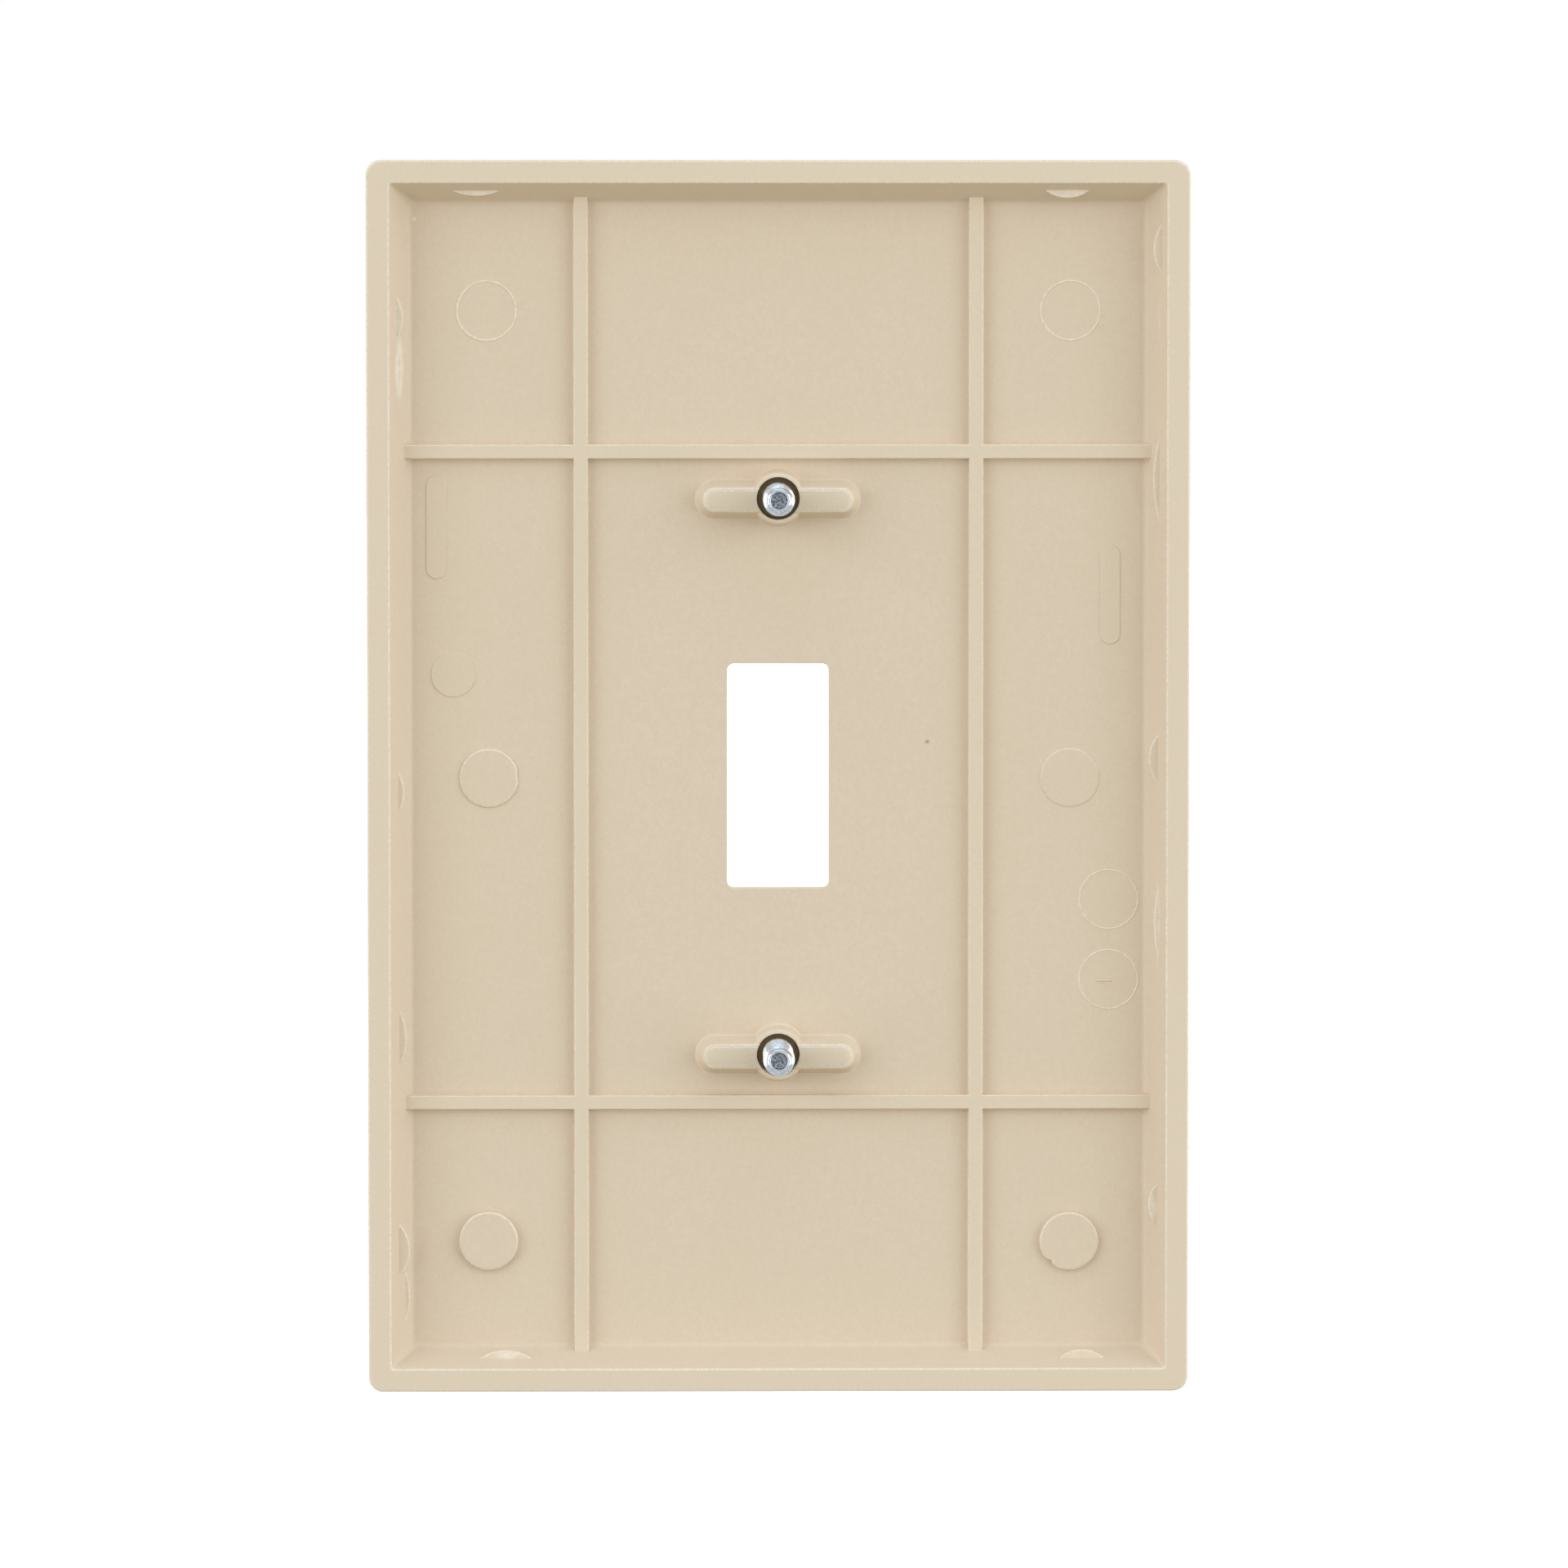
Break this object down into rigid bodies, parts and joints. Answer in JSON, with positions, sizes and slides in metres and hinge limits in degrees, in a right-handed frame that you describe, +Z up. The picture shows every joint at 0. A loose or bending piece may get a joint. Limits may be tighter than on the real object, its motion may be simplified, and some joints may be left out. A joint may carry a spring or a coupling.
{
  "type": "toggle switch wall plate",
  "caption": "Oversize one-gang cover plate for a toggle wall switch: a shallow moulded tray with stiffening ribs, a toggle opening, and oval-head screws in its countersunk holes.",
  "frame": {"origin": "centre of the plate's outline, in the plane of its back rim, which is the finished wall's surface", "axes": "+Z up along the plate's long side, +Y into the wall, -Y out of the plate's face, +X to the right of someone facing the plate"},
  "size_m": [0.0888, 0.0136, 0.1334],
  "materials": {
    "ivory_plastic": "satin",
    "zinc_plated_steel": "polished"
  },
  "bodies": {
    "plate": {"wall_plate": "ivory_plastic"},
    "upper_screw": {"upper_screw": "zinc_plated_steel"},
    "lower_screw": {"lower_screw": "zinc_plated_steel"}
  },
  "joints": [
    {"name": "upper_screw_out", "type": "slide", "parent": "plate", "child": "upper_screw", "axis": [0, -1, 0], "range_m": [0, 0.015]},
    {"name": "lower_screw_out", "type": "slide", "parent": "plate", "child": "lower_screw", "axis": [0, -1, 0], "range_m": [0, 0.015]}
  ]
}
